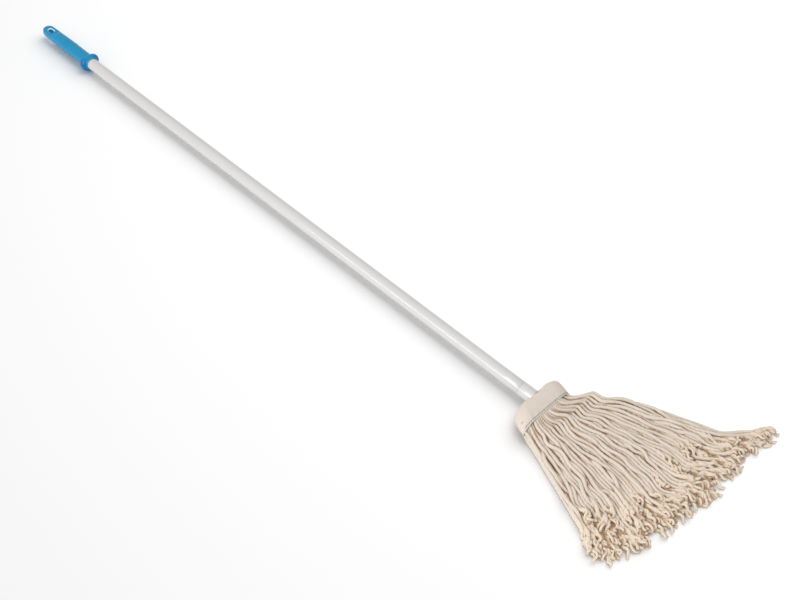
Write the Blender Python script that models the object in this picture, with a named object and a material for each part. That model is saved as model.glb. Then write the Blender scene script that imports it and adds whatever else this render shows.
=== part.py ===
"""A string mop lying on the floor: a white steel handle with a blue hanging grip, screwed into a cotton head.

Metres. +X runs along the handle from the grip to the yarn tips, +Z is up and the floor is z = 0. The origin is on
the floor below the middle of the canvas head band. Every mesh is drawn about the handle's axis, which lies
AXIS_HEIGHT above the floor, and the empties carry the meshes to their places.
"""

import math

import bmesh
import bpy
from mathutils import Vector

# Driving dimensions
AXIS_HEIGHT = 0.018
GAP = 0.0003  # between pieces that touch on the real mop
ROUND_SIDES = 28

TUBE_RADIUS = 0.011
TUBE_WALL = 0.0005
TUBE_LENGTH = 1.2
TUBE_END = -0.037  # where the tube stops, short of the head

GRIP_LENGTH = 0.159
GRIP_OVERLAP = 0.108  # of the tube's end inside the grip
GRIP_WALL = 0.0012
GRIP_TONGUE_THICKNESS = 0.013
GRIP_TONGUE_END = 0.035  # from the tip, where the tongue starts to thicken
GRIP_PANEL = (0.050, 0.097)  # from the tip, the flat panel's two ends
GRIP_PANEL_SHOULDER = (0.007, 0.002)  # run and rise at the panel's lower end
FLANGE_FROM_TIP = 0.1485
FLANGE_RADIUS = AXIS_HEIGHT  # above and below, so that it stands on the floor
FLANGE_LOBE = 0.0015  # how much further the flange reaches at its two sides
FLANGE_DIP = 0.0037  # how much lower it is on top
FLANGE_SECTION = (0.0050, 0.0082)  # radius of its rounded section above and at the sides
GRIP_SLOT = (0.016, 0.009)  # length and width of the hanging slot
GRIP_SLOT_FROM_TIP = 0.0215

THREAD_PITCH = 0.005
THREAD_ROOT = 0.0072
THREAD_DEPTH = 0.0013
THREAD_CLEARANCE = 0.0004
THREAD_SIDES = 20
THREAD_STEPS_PER_TURN = 6
THREAD_SPAN = (-0.011, 0.0145)
INSERT_PLUG_LENGTH = 0.040

SOCKET_SPAN = (-0.012, 0.0195)
SOCKET_BORE_END = 0.0162
SOCKET_RADII = (0.0118, 0.0105)  # at the mouth and at the closed end
ARM_REACH = 0.034
ARM_HALF_SIZE = (0.006, 0.004)  # along X and Z at the socket

BAND_TOP = -0.016
BAND_HEM = 0.0205
BAND_STITCH = 0.018
BAND_SHOULDER = 0.003  # the sides are straight below this X and curve in above it
BAND_HALF_WIDTH = 0.0505
BAND_FLARE = 0.10  # extra half width for each metre of X
BAND_SHIFT = (-0.0055, -0.28)  # sideways offset, and its slope along X: the cover is sewn askew
BAND_HALF_THICKNESS = AXIS_HEIGHT
BAND_PINCH = 0.003  # how far the stitching pulls each face in
CANVAS = 0.0015
NECK_OPENING_RADIUS = 0.0122

STITCH_RADIUS = 0.0006
SEAM_RADIUS = 0.001

YARN_HINGE = 0.0415  # X of the line that the loose yarn bends about
YARN_ROOT_END = 0.026
KNUCKLE = 0.015  # half thickness of the yarn where it bends
YARN_SECTIONS = 6
SECTION_TIPS = (0.236, 0.258, 0.270, 0.277, 0.270, 0.277)  # X of each section's cut ends
UPPER_TUFT_SHORTER = 0.040
SECTION_GAP = 0.003
FAN_NEAR = (0.072, 0.40)  # the fan's -Y edge: its offset at the hinge, and its slope
FAN_FAR = (0.078, 0.024, 0.36)  # its +Y edge: at the hinge, gained in the first burst, and its slope
FAN_ONSET = 0.006  # distance over which the fan starts to spread
FAN_BURST = 0.016  # distance over which the burst takes place
FAN_FLARE = (0.042, 0.145, 0.055)  # the +Y corner flares: by how much, from where, and over what distance
PILE_TIP_HEIGHT = 0.013  # of the pile of yarn above the floor at its far end
PILE_FALL = (0.11, 1.6)  # distance over which the pile sinks to that height, and how abruptly
LOWER_SHARE = AXIS_HEIGHT / (AXIS_HEIGHT + KNUCKLE)  # of the pile's height that lies in the lower tufts


# Scene and material helpers


def clear_scene():
    for obj in list(bpy.data.objects):
        bpy.data.objects.remove(obj, do_unlink=True)


def material(name, colour, roughness, metallic=0.0):
    mat = bpy.data.materials.new(name)
    mat.use_nodes = True
    shader = mat.node_tree.nodes["Principled BSDF"]
    shader.inputs["Base Color"].default_value = (*colour, 1.0)
    shader.inputs["Roughness"].default_value = roughness
    shader.inputs["Metallic"].default_value = metallic
    return mat


def pivot(name, x):
    """An empty on the handle's height that carries one moving group."""
    empty = bpy.data.objects.new(name, None)
    empty.location = (x, 0, AXIS_HEIGHT)
    bpy.context.scene.collection.objects.link(empty)
    return empty


def place(name, data, mat, parent):
    obj = bpy.data.objects.new(name, data)
    obj.parent = parent
    data.materials.append(mat)
    bpy.context.scene.collection.objects.link(obj)
    return obj


def mesh_object(name, bm, mat, parent, smooth_angle=35):
    bmesh.ops.recalc_face_normals(bm, faces=bm.faces)
    mesh = bpy.data.meshes.new(name)
    bm.to_mesh(mesh)
    bm.free()
    mesh.shade_smooth()
    mesh.set_sharp_from_angle(angle=math.radians(smooth_angle))
    return place(name, mesh, mat, parent)


def cutter(name, bm, mat, parent):
    obj = mesh_object(name, bm, mat, parent)
    obj.hide_render = True
    obj.display_type = "WIRE"
    return obj


def boolean(obj, other, operation="DIFFERENCE"):
    modifier = obj.modifiers.new(other.name, "BOOLEAN")
    modifier.operation = operation
    modifier.solver = "EXACT"
    modifier.object = other


# Shape helpers


def turned(outline, steps=ROUND_SIDES):
    """A closed (x, radius) outline spun round the X axis."""
    bm = bmesh.new()
    verts = [bm.verts.new((x, 0, radius)) for x, radius in outline]
    edges = [bm.edges.new((verts[i - 1], verts[i])) for i in range(len(verts))]
    bmesh.ops.spin(
        bm, geom=verts + edges, cent=(0, 0, 0), axis=(1, 0, 0), angle=math.tau, steps=steps, use_duplicate=False
    )
    bmesh.ops.remove_doubles(bm, verts=bm.verts, dist=1e-6)
    return bm


def rod(start, end, radius, steps=ROUND_SIDES):
    """A plain cylinder along X."""
    return turned([(start, 0), (start, radius), (end, radius), (end, 0)], steps)


def lofted(rings):
    """A closed solid through rings that all have the same number of points."""
    bm = bmesh.new()
    rows = [[bm.verts.new(point) for point in ring] for ring in rings]
    count = len(rows[0])
    for low, high in zip(rows, rows[1:]):
        for i in range(count):
            j = (i + 1) % count
            bm.faces.new((low[i], low[j], high[j], high[i]))
    bm.faces.new(rows[0])
    bm.faces.new(reversed(rows[-1]))
    return bm


def prism(outline, axis, half_depth):
    """A flat outline of 2-D points, extruded both ways along Y ('Y', points are x and z) or Z ('Z', x and y)."""
    bm = bmesh.new()
    if axis == "Y":
        corners = [(a, -half_depth, b) for a, b in outline]
        travel = (0, 2 * half_depth, 0)
    else:
        corners = [(a, b, -half_depth) for a, b in outline]
        travel = (0, 0, 2 * half_depth)
    face = bm.faces.new([bm.verts.new(corner) for corner in corners])
    made = bmesh.ops.extrude_face_region(bm, geom=[face])["geom"]
    bmesh.ops.translate(bm, vec=travel, verts=[g for g in made if isinstance(g, bmesh.types.BMVert)])
    return bm


def box(low, high):
    bm = prism([(low[0], low[1]), (high[0], low[1]), (high[0], high[1]), (low[0], high[1])], "Z", 0.5)
    for vert in bm.verts:
        vert.co.z = high[2] if vert.co.z > 0 else low[2]
    return bm


def arc(centre, radius, start, end, count):
    """Points on an arc, in degrees, as (x, radius) or (x, z) pairs."""
    angles = [math.radians(start + (end - start) * i / count) for i in range(count + 1)]
    return [(centre[0] + radius * math.cos(a), centre[1] + radius * math.sin(a)) for a in angles]


def tube_curve(name, points, radius, mat, parent):
    """A cord-like solid along points, with round section and filled ends."""
    curve = bpy.data.curves.new(name, "CURVE")
    curve.dimensions = "3D"
    curve.bevel_depth = radius
    curve.bevel_resolution = 1
    curve.use_fill_caps = True
    spline = curve.splines.new("POLY")
    spline.points.add(len(points) - 1)
    for slot, point in zip(spline.points, points):
        slot.co = (*point, 1)
    return place(name, curve, mat, parent)


# Handle


def grip_outline():
    """(x, radius) from the tip to the mouth, measured from the tip."""
    dome = [(0.012 * (1 - math.cos(a)), 0.0118 * math.sin(a)) for a in [math.radians(15 * i) for i in range(7)]]
    barrel = [(0.020, 0.01205), (0.045, 0.0125), (0.075, 0.0130), (0.105, 0.0128), (0.135, 0.0124)]
    collar = [(GRIP_LENGTH - 0.0012, 0.0130), (GRIP_LENGTH, 0.0122), (GRIP_LENGTH, 0)]
    return dome + barrel + collar


def flange_ring(x, sides=36, steps=12):
    """A rounded ring about the grip, thicker and further out at its two sides, and low on top."""
    bm = bmesh.new()
    rows = []
    for i in range(sides):
        turn = math.tau * i / sides
        lobe = math.cos(turn) ** 2
        radius = FLANGE_SECTION[0] + (FLANGE_SECTION[1] - FLANGE_SECTION[0]) * lobe
        dip = FLANGE_DIP * max(0.0, math.sin(turn)) ** 2
        centre = FLANGE_RADIUS + FLANGE_LOBE * lobe - dip - radius
        row = []
        for k in range(steps):
            angle = math.tau * k / steps
            out = centre + radius * math.sin(angle)
            row.append(bm.verts.new((x + radius * math.cos(angle), out * math.cos(turn), out * math.sin(turn))))
        rows.append(row)
    for i, row in enumerate(rows):
        after = rows[(i + 1) % sides]
        for k in range(steps):
            j = (k + 1) % steps
            bm.faces.new((row[k], row[j], after[j], after[k]))
    return bm


def planed_side():
    """(x, height) outline, from the tip, of what is cut off one side of the grip: the tongue is thin round the slot,
    and a long shallow panel lies over the tube."""
    thin = GRIP_TONGUE_THICKNESS / 2
    panel = TUBE_RADIUS + GRIP_WALL
    clear = 0.03  # well outside the grip
    start, end = GRIP_PANEL
    run, rise_by = GRIP_PANEL_SHOULDER
    side = [(-0.01, thin), (GRIP_TONGUE_END, thin)]
    for i in range(1, 6):
        t = i / 6
        ease = t * t * (3 - 2 * t)
        side.append((GRIP_TONGUE_END + (start - GRIP_TONGUE_END) * t, thin + (panel - thin) * ease))
    side += [(start, panel), (end, panel), (end + run, panel + rise_by), (end + run, clear), (-0.01, clear)]
    return side


def hand_grip(mat, parent):
    tip = TUBE_END - TUBE_LENGTH + GRIP_OVERLAP - GRIP_LENGTH
    grip = mesh_object("hand_grip", turned([(tip + x, r) for x, r in grip_outline()], 32), mat, parent)
    flange = cutter("grip_flange_ring", flange_ring(tip + FLANGE_FROM_TIP), mat, parent)
    boolean(grip, flange, "UNION")

    bore_depth = GRIP_OVERLAP + GAP
    mouth = tip + GRIP_LENGTH
    bore = rod(mouth - bore_depth, mouth + 0.01, TUBE_RADIUS + GAP)
    boolean(grip, cutter("grip_bore_cutter", bore, mat, parent))

    for label, sign in (("upper", 1), ("lower", -1)):
        plane = prism([(tip + x, sign * z) for x, z in planed_side()], "Y", 0.03)
        boolean(grip, cutter(f"grip_{label}_plane_cutter", plane, mat, parent))

    length, width = GRIP_SLOT
    centre = tip + GRIP_SLOT_FROM_TIP
    offset = (length - width) / 2
    slot = arc((centre + offset, 0), width / 2, -90, 90, 8) + arc((centre - offset, 0), width / 2, 90, 270, 8)
    boolean(grip, cutter("grip_slot_cutter", prism(slot, "Z", 0.03), mat, parent))
    return grip


def handle_tube(mat, parent):
    start = TUBE_END - TUBE_LENGTH
    inner = TUBE_RADIUS - TUBE_WALL
    outline = [(start, inner), (TUBE_END, inner), (TUBE_END, TUBE_RADIUS), (start, TUBE_RADIUS)]
    return mesh_object("handle_tube", turned(outline), mat, parent)


def thread_height(x, angle, span):
    """Height of the rounded thread above its root. It fades out over half a turn at each end of the span."""
    fade = 0.5 * THREAD_PITCH
    share = max(0.0, min(1.0, (x - span[0]) / fade, (span[1] - x) / fade))
    wave = 0.5 + 0.5 * math.cos(math.tau * x / THREAD_PITCH - angle)
    return THREAD_DEPTH * share * wave


def threaded(stations, thread_span, extra=0.0):
    """A round bar through (x, radius) stations, with a right-hand thread over thread_span."""
    rings = []
    for x, radius in stations:
        ring = []
        for i in range(THREAD_SIDES):
            angle = math.tau * i / THREAD_SIDES
            r = radius + extra + thread_height(x, angle, thread_span)
            ring.append((x, r * math.cos(angle), r * math.sin(angle)))
        rings.append(ring)
    return lofted(rings)


def thread_stations(span):
    count = round((span[1] - span[0]) / THREAD_PITCH * THREAD_STEPS_PER_TURN)
    return [(span[0] + (span[1] - span[0]) * i / count, THREAD_ROOT) for i in range(count + 1)]


def thread_insert(mat, parent):
    plug = TUBE_RADIUS - TUBE_WALL - GAP
    start = TUBE_END - INSERT_PLUG_LENGTH
    shank = THREAD_ROOT - 0.0004
    stations = [(start, plug - 0.001), (start + 0.0015, plug), (TUBE_END - 0.0005, plug)]
    stations += [(TUBE_END, shank), (THREAD_SPAN[0] - 0.0005, shank)]
    stations += thread_stations(THREAD_SPAN) + [(THREAD_SPAN[1] + 0.001, THREAD_ROOT - 0.0012)]
    return mesh_object("thread_insert", threaded(stations, THREAD_SPAN), mat, parent)


def insert_rivet(mat, parent, tube, insert):
    """A dome rivet from below, through the tube's wall into the insert."""
    shank, head, drop = 0.0016, 0.0032, 0.0012
    depth = 0.0065  # from the tube's surface
    outline = [(0, -depth), (shank, -depth), (shank, GAP), (head, GAP)]
    outline += [(head * math.cos(a), GAP + drop * math.sin(a)) for a in (0.5, 0.9, 1.25)] + [(0, GAP + drop)]
    x = TUBE_END - 0.016

    def standing(bm):
        for vert in bm.verts:
            along, across, up = vert.co.x, vert.co.y, vert.co.z
            vert.co = Vector((x + up, across, -TUBE_RADIUS - along))
        return bm

    spun = turned([(out, r) for r, out in outline], 20)
    rivet = mesh_object("insert_rivet", standing(spun), mat, parent)
    hole = cutter("rivet_hole_cutter", standing(rod(-depth - GAP, 0.002, shank + GAP, 20)), mat, parent)
    boolean(tube, hole)
    boolean(insert, hole)
    return rivet


def neck_sleeve(mat, parent):
    start, end = TUBE_END + GAP, SOCKET_SPAN[0] - GAP
    outer, inner, edge = TUBE_RADIUS + 0.0003, THREAD_ROOT, 0.0005
    outline = [(start, inner), (end, inner), (end, outer - edge), (end - edge, outer)]
    outline += [(start + edge, outer), (start, outer - edge)]
    return mesh_object("neck_sleeve", turned(outline), mat, parent)


# Head: the yoke, and the canvas band sewn over it


def yoke_body(spare=0.0):
    """The socket's barrel and its two arms, as separate closed shapes, grown by spare on every side."""
    start, end = SOCKET_SPAN
    mouth, tail = SOCKET_RADII
    barrel = turned([(start - spare, 0), (start - spare, mouth + spare), (end + spare, tail + spare), (end + spare, 0)])
    half_x, half_z = ARM_HALF_SIZE
    rings = []
    for y, share in ((-ARM_REACH - spare, 0.72), (-0.008, 1.0), (0.008, 1.0), (ARM_REACH + spare, 0.72)):
        ring = []
        for angle in (17, 73, 107, 163, 197, 253, 287, 343):
            sx = max(-1.0, min(1.0, 1.046 * math.cos(math.radians(angle))))
            sz = max(-1.0, min(1.0, 1.046 * math.sin(math.radians(angle))))
            ring.append((sx * (half_x * share + spare), y, sz * (half_z * share + spare)))
        rings.append(ring)
    return barrel, lofted(rings)


def socket_yoke(mat, parent):
    barrel, arms = yoke_body()
    yoke = mesh_object("socket_yoke", barrel, mat, parent)
    boolean(yoke, cutter("yoke_arms_cutter", arms, mat, parent), "UNION")
    deep = (THREAD_SPAN[0] - 0.03, SOCKET_BORE_END)
    stations = [(x, r) for x, r in thread_stations((SOCKET_SPAN[0] - 0.0015, SOCKET_BORE_END))]
    bore = threaded(stations, deep, THREAD_CLEARANCE)
    boolean(yoke, cutter("socket_bore_cutter", bore, mat, parent))
    return yoke


def band_centre(x):
    return BAND_SHIFT[0] + BAND_SHIFT[1] * x


def band_half_width(x, inset):
    """Half width of the band's outline at x, with the corners curving in above the shoulder."""
    straight = BAND_HALF_WIDTH + BAND_FLARE * x - inset
    u = rise(x, inset)
    return straight * (1 - u**3.2) ** (1 / 3.2)


def rise(x, inset):
    return max(0.0, min(1.0, (BAND_SHOULDER - x) / (BAND_SHOULDER - BAND_TOP - inset)))


def band_height(x, y, inset):
    """Height of the band's face above the middle plane. It is flat in the middle, where the floor presses it."""
    across = abs(y - band_centre(x)) / (BAND_HALF_WIDTH + BAND_FLARE * x - inset)
    rim = min(1.0, (across**3.2 + rise(x, inset) ** 3.2) ** (1 / 3.2))
    crown = 1.083 * math.sqrt(1 - rim**4)
    fall = min(1.0, max(0.0, (x - 0.006) / (BAND_STITCH - 0.006)))
    full = BAND_HALF_THICKNESS - GAP / 2 - BAND_PINCH * fall * fall * (3 - 2 * fall)
    return max(0.0, full * min(1.0, crown) - inset)


def band_rows(inset, last_rows):
    """Rows of (x, y) points over the band's plan, from the top edge down, closer together near the rim."""
    columns = [math.sin(math.pi / 2 * k / 8) for k in range(-8, 9)]
    shares = (1.0, 0.98, 0.92, 0.8, 0.6, 0.3)
    reach = BAND_SHOULDER - BAND_TOP - inset
    xs = [BAND_SHOULDER - share * reach for share in shares] + [BAND_SHOULDER, 0.009, 0.0135, *last_rows]
    return [[(x, band_centre(x) + band_half_width(x, inset) * v) for v in columns] for x in xs]


def skin(rows, side, inset):
    """The band's face over rows of plan points, as 3-D rows. side is 1 for the front and -1 for the back."""
    return [[(x, y, side * (GAP / 2 + band_height(x, y, inset))) for x, y in row] for row in rows]


def joined(top, bottom):
    """A closed solid between two grids of points that match row for row."""
    bm = bmesh.new()
    grids = [[[bm.verts.new(point) for point in row] for row in grid] for grid in (top, bottom)]
    rows, columns = len(top), len(top[0])
    for grid in grids:
        for i in range(rows - 1):
            for j in range(columns - 1):
                bm.faces.new((grid[i][j], grid[i][j + 1], grid[i + 1][j + 1], grid[i + 1][j]))
    edge = [(0, j) for j in range(columns)] + [(i, columns - 1) for i in range(1, rows)]
    edge += [(rows - 1, j) for j in range(columns - 2, -1, -1)] + [(i, 0) for i in range(rows - 2, 0, -1)]
    for k, (i, j) in enumerate(edge):
        m, n = edge[(k + 1) % len(edge)]
        bm.faces.new((grids[0][i][j], grids[0][m][n], grids[1][m][n], grids[1][i][j]))
    bmesh.ops.remove_doubles(bm, verts=bm.verts, dist=1e-6)
    return bm


def band_panel(name, side, mat, parent):
    last_rows = (BAND_STITCH, BAND_HEM)
    outer = skin(band_rows(0.0, last_rows), side, 0.0)
    inner = skin(band_rows(CANVAS, last_rows), side, CANVAS)
    panel = mesh_object(name, joined(outer, inner), mat, parent)
    opening = rod(BAND_TOP - 0.01, BAND_TOP + 0.009, NECK_OPENING_RADIUS)
    boolean(panel, cutter(f"{name}_opening_cutter", opening, mat, parent))
    return panel


def stitch_row(name, side, mat, parent):
    """The sewing thread that lies in the pinched line across the band."""
    clear = STITCH_RADIUS + 2 * GAP
    points = []
    for i in range(25):
        y = band_centre(BAND_STITCH) + 0.9 * band_half_width(BAND_STITCH, 0) * (i / 12 - 1)
        step = 0.0005
        slope = (band_height(BAND_STITCH, y + step, 0) - band_height(BAND_STITCH, y - step, 0)) / (2 * step)
        lean = math.hypot(1, slope)
        z = band_height(BAND_STITCH, y, 0) + GAP / 2 + clear / lean
        points.append((BAND_STITCH, y - clear * slope / lean, side * z))
    return tube_curve(name, points, STITCH_RADIUS, mat, parent)


def rim_seam(name, side, mat, parent):
    """The edge seam that closes the band, from one lower corner up to the neck opening. side is the sign of Y."""
    out = -(SEAM_RADIUS + GAP)
    points = []
    for i in range(4):
        x = BAND_HEM + (BAND_SHOULDER - BAND_HEM) * i / 4
        points.append((x, band_centre(x) + side * band_half_width(x, out), 0))
    for i in range(17):
        share = math.sin(math.pi / 2 * i / 17)
        x = BAND_SHOULDER - share * (BAND_SHOULDER - BAND_TOP - out)
        y = band_centre(x) + side * band_half_width(x, out)
        if side * y > NECK_OPENING_RADIUS + SEAM_RADIUS:
            points.append((x, y, 0))
    return tube_curve(name, points, SEAM_RADIUS, mat, parent)


def yarn_core(name, side, mat, parent):
    """Half of the folded hank inside the band, with room for the socket and its arm. side is the sign of Y."""
    inset = CANVAS + GAP
    rows = band_rows(inset, (BAND_STITCH, BAND_HEM, YARN_ROOT_END))
    core = mesh_object(name, joined(skin(rows, 1, inset), skin(rows, -1, inset)), mat, parent)
    far = 0.2
    low_y, high_y = (-GAP / 2, far) if side < 0 else (-far, GAP / 2)
    boolean(core, cutter(f"{name}_half_cutter", box((-far, low_y, -far), (far, high_y, far)), mat, parent))
    barrel, arms = yoke_body(GAP)
    boolean(core, cutter(f"{name}_socket_cutter", barrel, mat, parent))
    boolean(core, cutter(f"{name}_arm_cutter", arms, mat, parent))
    neck = rod(BAND_TOP - 0.01, SOCKET_SPAN[0] + 0.001, NECK_OPENING_RADIUS)
    boolean(core, cutter(f"{name}_neck_cutter", neck, mat, parent))
    return core


# Loose yarn: sections that each swing about the hinge line, made of an upper and a lower pair of tufts


def fan_edge(share, reach):
    """Y at share (-1 to 1) of the fan's width, at a distance reach from the hinge line. Straight inside the knuckle,
    so that a section's sides stay clear of its neighbours at every angle."""
    past = max(0.0, reach - KNUCKLE)
    out = past * past / (past + FAN_ONSET)
    turn = max(0.0, min(1.0, (out - FAN_FLARE[1]) / FAN_FLARE[2]))
    flare = FAN_FLARE[0] * turn * turn * (3 - 2 * turn)
    near = -(FAN_NEAR[0] + FAN_NEAR[1] * out)
    far = FAN_FAR[0] + FAN_FAR[1] * (1 - math.exp(-out / FAN_BURST)) + FAN_FAR[2] * out + flare
    return near + (far - near) * (share + 1) / 2


def tuft_heights(distance):
    """Underside, middle and top of the lying yarn at a distance past the hinge, from the handle's axis."""
    settle = min(1.0, distance / 0.02)
    low = -KNUCKLE - (AXIS_HEIGHT - KNUCKLE) * settle
    fall = math.exp(-((distance / PILE_FALL[0]) ** PILE_FALL[1]))
    pile = PILE_TIP_HEIGHT + (AXIS_HEIGHT + KNUCKLE - PILE_TIP_HEIGHT) * fall
    return low, LOWER_SHARE * pile - AXIS_HEIGHT, pile - AXIS_HEIGHT


def tuft_faces(bm, rows):
    """Skins rings of six points, three up the left side and three down the right. Both sides are cut into triangles
    along matching diagonals, so that neighbouring tufts keep their gap."""
    for low, high in zip(rows, rows[1:]):
        for a, b in ((0, 1), (1, 2)):
            bm.faces.new((low[a], low[b], high[b]))
            bm.faces.new((low[a], high[b], high[a]))
        for a, b in ((3, 4), (4, 5)):
            bm.faces.new((low[a], low[b], high[a]))
            bm.faces.new((low[b], high[b], high[a]))
        for a, b in ((2, 3), (5, 0)):
            bm.faces.new((low[a], low[b], high[b], high[a]))
    bm.faces.new(rows[0])
    bm.faces.new(reversed(rows[-1]))


def tuft(name, shares, upper, tip_x, mat, parent):
    tip = tip_x - YARN_HINGE - (UPPER_TUFT_SHORTER if upper else 0.0)
    stations = [-KNUCKLE * share for share in (0.99, 0.9, 0.66, 0.35)] + [0.006 * i for i in range(9)]
    stations += [x for x in (0.06, 0.075, 0.1, 0.13, 0.155, 0.17, 0.185, 0.2, 0.215) if x < tip - 0.01] + [tip]
    rings = []
    for distance in stations:
        if distance < 0:
            reach = math.sqrt(KNUCKLE**2 - distance**2)
            low, middle, top = -reach, 0.0, reach
        else:
            low, middle, top = tuft_heights(distance)
        z_low, z_high = (middle + GAP / 2, top) if upper else (low, middle - GAP / 2)
        levels = [z_low + (z_high - z_low) * k / 2 for k in range(3)]
        left = [(distance, fan_edge(shares[0], math.hypot(distance, z)) + SECTION_GAP / 2, z) for z in levels]
        right = [(distance, fan_edge(shares[1], math.hypot(distance, z)) - SECTION_GAP / 2, z) for z in levels]
        rings.append(left + right[::-1])
    bm = bmesh.new()
    tuft_faces(bm, [[bm.verts.new(point) for point in ring] for ring in rings])
    return mesh_object(name, bm, mat, parent)


def yarn_section(index, mat):
    """One section of the fan: two tufts side by side, over a wide one that lies on the floor."""
    hinge = pivot(f"yarn_{index + 1}_hinge", YARN_HINGE)
    width = 2 / YARN_SECTIONS
    start = -1 + width * index
    tuft(f"yarn_{index + 1}_lower", (start, start + width), False, SECTION_TIPS[index], mat, hinge)
    for part, letter in enumerate("ab"):
        shares = (start + width * part / 2, start + width * (part + 1) / 2)
        tuft(f"yarn_{index + 1}_upper_{letter}", shares, True, SECTION_TIPS[index], mat, hinge)


def build():
    clear_scene()
    enamel = material("white_enamel", (0.80, 0.79, 0.78), 0.25)
    blue = material("blue_plastic", (0.02, 0.30, 0.62), 0.38)
    white = material("white_plastic", (0.80, 0.80, 0.79), 0.35)
    steel = material("zinc_steel", (0.62, 0.62, 0.60), 0.35, 1.0)
    canvas = material("canvas", (0.76, 0.70, 0.62), 0.92)
    thread = material("green_thread", (0.33, 0.42, 0.36), 0.8)
    cotton = material("cotton_yarn", (0.78, 0.70, 0.58), 0.95)

    handle = pivot("handle_axis", 0)
    hand_grip(blue, handle)
    tube = handle_tube(enamel, handle)
    insert = thread_insert(white, handle)
    insert_rivet(steel, handle, tube, insert)
    neck_sleeve(white, pivot("neck_axis", 0))

    head = pivot("head_axis", 0)
    socket_yoke(white, head)
    for label, side in (("front", 1), ("back", -1)):
        band_panel(f"band_{label}", side, canvas, head)
        stitch_row(f"stitch_{label}", side, thread, head)
    for label, side in (("near", -1), ("far", 1)):
        rim_seam(f"edge_seam_{label}", side, canvas, head)
        yarn_core(f"yarn_core_{label}", side, cotton, head)
    for index in range(YARN_SECTIONS):
        yarn_section(index, cotton)


build()
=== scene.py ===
"""The looks of a string mop that lies on a pale studio floor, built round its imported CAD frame.

The loose yarn is a hundred and eight separate strands. They start over the yoke inside the canvas band, spread
into a fan, and a small relaxation pushes them apart and lets them settle on the floor. Each ends in loose plies.
"""

import math

import bpy
import numpy as np
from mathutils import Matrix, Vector
from mathutils.kdtree import KDTree


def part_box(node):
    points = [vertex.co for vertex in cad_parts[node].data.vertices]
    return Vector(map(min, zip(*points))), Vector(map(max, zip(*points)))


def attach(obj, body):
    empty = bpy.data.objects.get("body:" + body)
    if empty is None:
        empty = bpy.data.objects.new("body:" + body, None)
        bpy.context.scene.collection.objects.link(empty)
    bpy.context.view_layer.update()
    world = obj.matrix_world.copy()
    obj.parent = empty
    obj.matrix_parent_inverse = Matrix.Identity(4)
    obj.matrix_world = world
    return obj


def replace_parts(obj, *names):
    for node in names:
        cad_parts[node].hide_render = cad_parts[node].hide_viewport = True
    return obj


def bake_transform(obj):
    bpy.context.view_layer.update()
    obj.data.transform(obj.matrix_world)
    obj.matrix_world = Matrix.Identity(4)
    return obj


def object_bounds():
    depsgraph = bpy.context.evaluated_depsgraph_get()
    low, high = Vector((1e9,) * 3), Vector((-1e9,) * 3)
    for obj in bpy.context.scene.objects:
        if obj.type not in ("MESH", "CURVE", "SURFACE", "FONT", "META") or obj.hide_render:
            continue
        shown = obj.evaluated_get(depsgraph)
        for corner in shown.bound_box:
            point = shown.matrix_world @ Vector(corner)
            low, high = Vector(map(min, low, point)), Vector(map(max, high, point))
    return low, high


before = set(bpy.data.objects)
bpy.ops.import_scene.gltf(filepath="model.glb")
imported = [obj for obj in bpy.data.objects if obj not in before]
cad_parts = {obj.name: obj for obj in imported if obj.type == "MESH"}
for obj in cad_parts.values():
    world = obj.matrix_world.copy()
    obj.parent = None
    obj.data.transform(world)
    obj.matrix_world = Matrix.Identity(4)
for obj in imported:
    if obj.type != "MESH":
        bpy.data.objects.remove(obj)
CAD_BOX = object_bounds()

# Where the CAD says things are
TUBE_LOW, TUBE_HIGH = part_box("handle_tube")
AXIS_HEIGHT = (TUBE_LOW.z + TUBE_HIGH.z) / 2
TUBE_RADIUS = (TUBE_HIGH.z - TUBE_LOW.z) / 2
GRIP_LOW, GRIP_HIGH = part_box("hand_grip")
NECK_LOW, NECK_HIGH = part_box("neck_sleeve")
BAND_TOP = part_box("band_front")[0].x
BAND_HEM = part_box("band_front")[1].x
STITCH_LOW, STITCH_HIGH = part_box("stitch_front")
BAND_STITCH = (STITCH_LOW.x + STITCH_HIGH.x) / 2

# The canvas band, as the CAD draws it
BAND_SHOULDER = 0.003
BAND_HALF_WIDTH = 0.0490
BAND_FLARE = 0.10
BAND_SHIFT = (-0.0047, -0.28)
BAND_POWER = 3.2
BAND_PINCH = 0.003
CANVAS = 0.0013
COLLAR_RADIUS = 0.0131
STAIN_AND_NECK_SHADE = ((0.0095, -0.0527, 0.0013, 0.75), (-0.0115, 0.0015, 0.0028, 0.8))  # x, y, radius, strength of brown: a real stain dot, then painted shade in the gap beside the neck
NECK_SCOOP = 0.0045  # how far the cloth's edge draws back over the neck

# The fan of yarn, as the CAD draws it
YARN_HINGE = 0.0415
KNUCKLE = 0.015
SECTIONS = 6
SECTION_TIPS = (0.236, 0.258, 0.270, 0.277, 0.270, 0.277)
FAN_NEAR = (0.072, 0.40)
FAN_FAR = (0.078, 0.024, 0.36)
FAN_ONSET = 0.006
FAN_BURST = 0.016
FAN_FLARE = (0.042, 0.145, 0.055)
FAR_DRAW = 0.004  # how far the far edge is drawn in beside the hem
NEAR_FLARE = 0.008  # how far the loose ends spread at the near corner
PILE_TIP_HEIGHT = 0.013
PILE_FALL = (0.11, 1.6)

# Strands
STRANDS = 108
NODES = 50
STRAND_RADIUS = 0.0028
HEM_RADIUS = 0.0023
RING_STEP = 0.0022
STRAND_FILLS = 0.020  # distance past the hem over which a strand swells to its full thickness
SIDES = 16
PLY_PITCH = 0.030
FRAY_LENGTH = 0.034
PLIES = 4
PILE_CELL = 0.002
GAP_SHADE_FROM = 0.0005  # depth below the strands' tops at which the painted shade in the gaps begins
GAP_SHADE_OVER = 0.0025
HIDDEN_FROM = 0.0060  # deeper yarn is only seen when a section bends, and is without painted shade again
HIDDEN_OVER = 0.0045


# General helpers


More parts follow.
